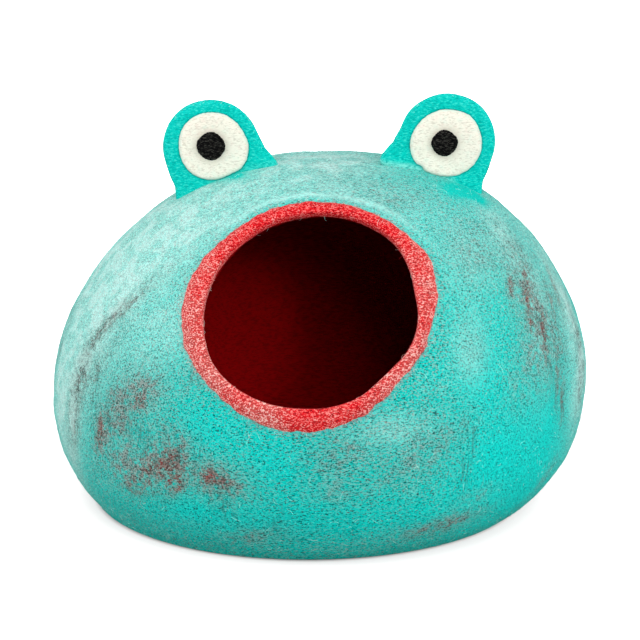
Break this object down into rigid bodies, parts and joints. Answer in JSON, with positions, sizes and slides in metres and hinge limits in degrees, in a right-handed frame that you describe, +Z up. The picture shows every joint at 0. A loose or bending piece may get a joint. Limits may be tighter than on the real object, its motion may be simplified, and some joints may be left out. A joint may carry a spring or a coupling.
{
  "type": "felt cat cave with a frog face",
  "caption": "Round one-piece wool felt cat cave with a flat base, a red-bound round mouth tipped upward and upright felt eye flaps on its dome.",
  "frame": {"origin": "on the floor, under the middle of the whole cave's box", "axes": "+Z up, -Y the side the mouth faces, +X to the right of someone who looks into the mouth; left and right in node names are that person's"},
  "size_m": [0.5023, 0.4761, 0.3841],
  "materials": {
    "turquoise_felt": "matt wet-felted wool, turquoise with pale mint and rust fibres felted in",
    "red_felt": "matt wool felt, red with pale fibres felted in",
    "eye_turquoise_felt": "matt wool felt, even vivid turquoise",
    "white_felt": "matt undyed wool felt, off white",
    "black_felt": "matt needle-felted wool, black with grey fibres"
  },
  "bodies": {
    "root": {"cave_shell": "turquoise_felt", "mouth_binding": "red_felt", "eye_flap_left": "eye_turquoise_felt", "eye_flap_right": "eye_turquoise_felt", "eye_white_left": "white_felt", "eye_white_right": "white_felt", "pupil_left": "black_felt", "pupil_right": "black_felt"}
  },
  "joints": []
}
